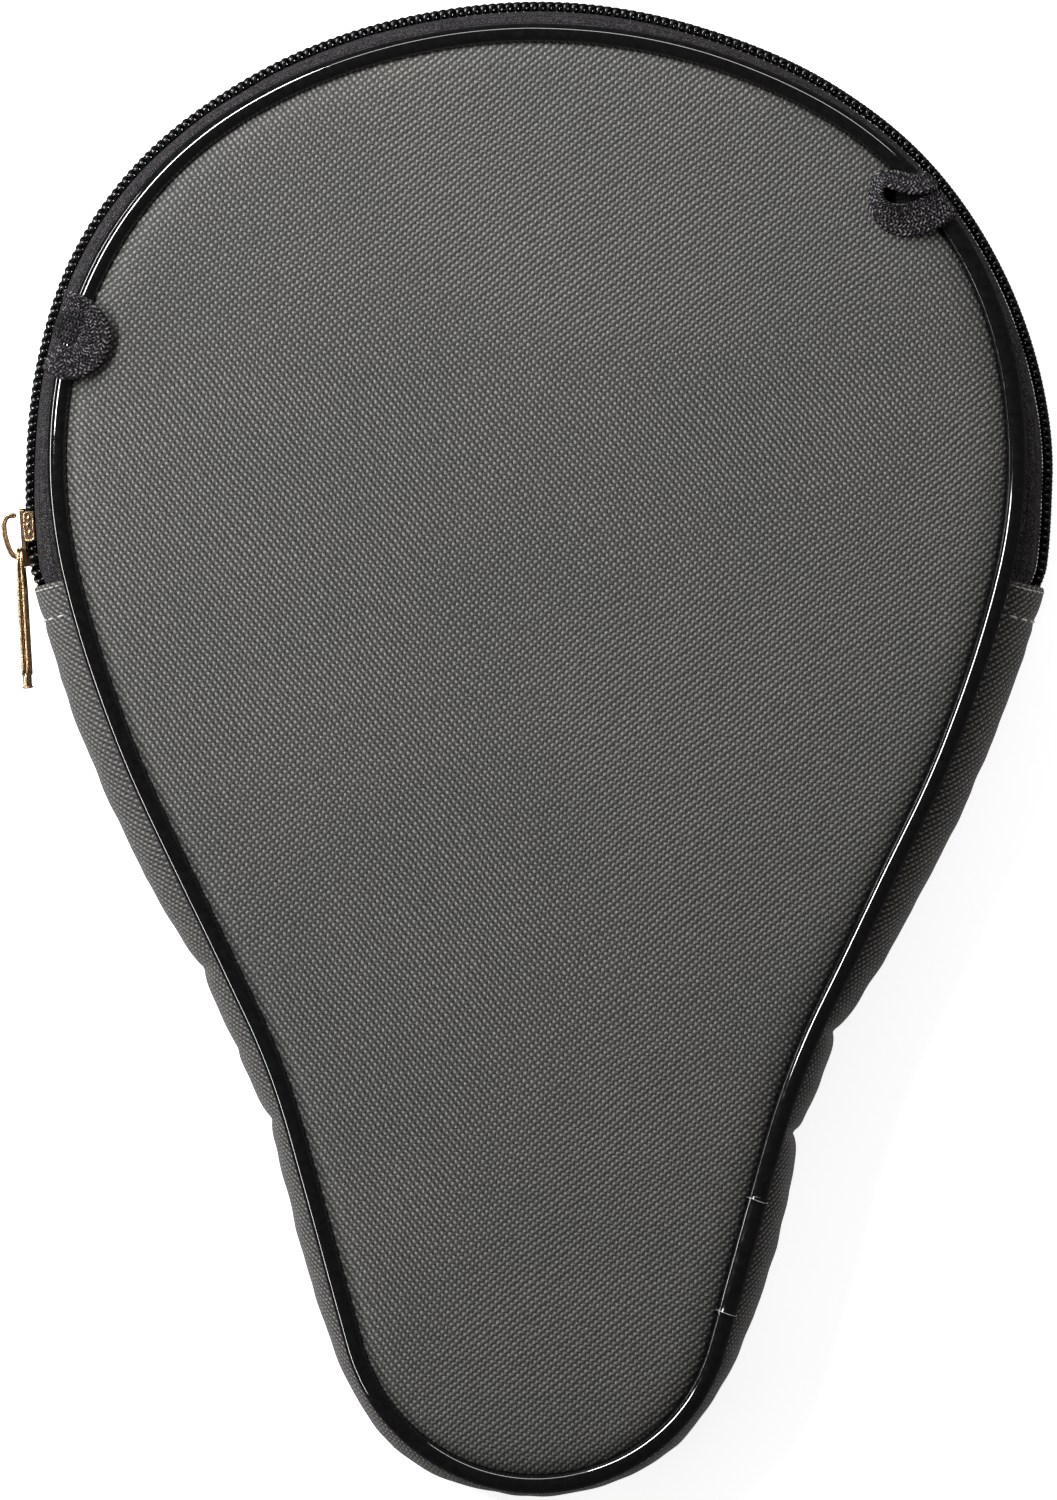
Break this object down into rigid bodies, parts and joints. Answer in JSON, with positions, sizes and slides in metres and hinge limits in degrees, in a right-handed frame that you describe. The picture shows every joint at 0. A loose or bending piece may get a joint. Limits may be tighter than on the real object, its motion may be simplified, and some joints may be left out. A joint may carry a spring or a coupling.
{
  "type": "table tennis bat case",
  "caption": "Padded teardrop case for a table-tennis bat, with a coil zip round the head, piped edges, a puckered fabric gusset and two small webbing loops.",
  "frame": {"origin": "on the back panel's outer face, which is the resting plane, under the centre of the zip's arc round the head", "axes": "+Z out of the front panel, +Y towards the rounded head, +X to the right seen from the front"},
  "size_m": [0.2107, 0.3044, 0.027],
  "materials": {
    "shell_fabric": "matte",
    "foam": "matte",
    "lining_fabric": "matte",
    "binding_tape": "matte",
    "piping_vinyl": "gloss",
    "zip_tape": "matte",
    "zip_coil": "satin",
    "webbing": "matte",
    "stitch_thread": "matte",
    "gold_metal": "polished"
  },
  "bodies": {
    "shell": {"back_panel": "shell_fabric", "back_padding": "foam", "back_lining": "lining_fabric", "back_seam_binding": "binding_tape", "back_piping": "piping_vinyl", "lower_gusset": "shell_fabric", "gusset_lining": "lining_fabric", "back_zip_tape": "zip_tape", "back_zip_coil": "zip_coil", "front_panel_lower": "shell_fabric", "front_padding_lower": "foam", "front_lining_lower": "lining_fabric", "front_seam_binding_lower": "binding_tape", "front_piping_lower": "piping_vinyl", "front_piping_sleeve": "piping_vinyl", "zip_end_stitches_left": "stitch_thread", "zip_end_stitches_right": "stitch_thread"},
    "flap": {"front_panel_upper": "shell_fabric", "front_padding_upper": "foam", "front_lining_upper": "lining_fabric", "front_seam_binding_upper": "binding_tape", "front_piping_upper": "piping_vinyl", "front_zip_tape": "zip_tape", "front_zip_coil": "zip_coil", "webbing_loop_left": "webbing", "webbing_loop_right": "webbing"},
    "slider": {"slider_body": "gold_metal", "slider_crown": "gold_metal"},
    "pull": {"pull_tab": "gold_metal"}
  },
  "joints": [
    {"name": "zip_slide", "type": "hinge", "parent": "shell", "child": "slider", "pos_m": [0, 0, 0.012], "axis": [0, 0, -1], "range_deg": [0, 188.1]},
    {"name": "flap_open", "type": "hinge", "parent": "shell", "child": "flap", "pos_m": [0, -0.0157, 0.024], "axis": [1, 0, 0], "range_deg": [0, 50], "deforming": ["front_zip_tape", "front_zip_coil"]},
    {"name": "pull_swing", "type": "hinge", "parent": "slider", "child": "pull", "pos_m": [-0.10441, -0.00993, 0.012], "axis": [0, 0, -1], "range_deg": [0, 110]}
  ],
  "couplings": [
    {"joint": "flap_open", "follows": "zip_slide", "ratio": 0.2655}
  ]
}
